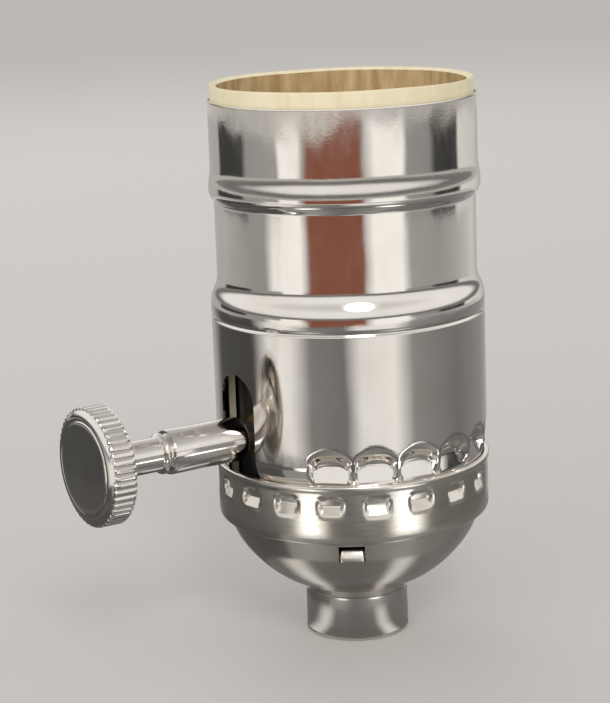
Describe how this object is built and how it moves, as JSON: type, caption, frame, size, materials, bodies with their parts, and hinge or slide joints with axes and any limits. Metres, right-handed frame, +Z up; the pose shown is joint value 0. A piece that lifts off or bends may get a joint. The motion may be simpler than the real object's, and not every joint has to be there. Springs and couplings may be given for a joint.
{
  "type": "lamp holder",
  "caption": "Turn-knob lamp holder: polished shell with a paper liner in a dimpled cap on a threaded neck, with a fluted knob at the side.",
  "frame": {"origin": "centre of the neck's bottom face, on the socket axis", "axes": "+Z up the socket axis to the lamp mouth, -X out along the switch shaft to the knob, +Y the side of the hot terminal"},
  "size_m": [0.0551, 0.0342, 0.0699],
  "materials": {
    "polished_nickel": "polished nickel plate",
    "satin_nickel": "bright rolled plate, slightly soft",
    "turned_nickel": "turned, with fine lathe lines",
    "liner_paper": "pressed paper board, tan inside and cream outside",
    "cap_paper": "thin brown fish paper",
    "black_phenolic": "moulded black phenolic",
    "brown_phenolic": "moulded brown phenolic",
    "red_fibre": "vulcanised fibre",
    "screw_shell_metal": "bright rolled aluminium",
    "brass": "bare rolled brass",
    "spring_bronze": "phosphor bronze strip",
    "zinc_steel": "zinc plated steel"
  },
  "bodies": {
    "socket": {"neck_bushing": "turned_nickel", "cap": "satin_nickel", "cap_liner": "cap_paper", "outer_shell": "polished_nickel", "insulating_liner": "liner_paper", "switch_housing": "black_phenolic", "contact_base": "black_phenolic", "shell_insulator": "red_fibre", "screw_shell": "screw_shell_metal", "centre_contact": "spring_bronze", "line_contact": "spring_bronze", "load_contact": "spring_bronze", "hot_terminal": "brass", "neutral_strap": "zinc_steel", "click_spring": "zinc_steel", "hot_terminal_screw": "brass", "neutral_terminal_screw": "zinc_steel", "body_screws": "zinc_steel", "contact_rivet": "brass", "strap_rivet": "brass", "shaft_bushing": "brass"},
    "knob_assembly": {"knob": "polished_nickel", "switch_shaft": "zinc_steel", "rotor": "brown_phenolic", "rotor_bridge": "brass"}
  },
  "joints": [
    {"name": "knob_turn", "type": "hinge", "parent": "socket", "child": "knob_assembly", "pos_m": [0, 0, 0.0276], "axis": [-1, 0, 0], "continuous": true}
  ]
}
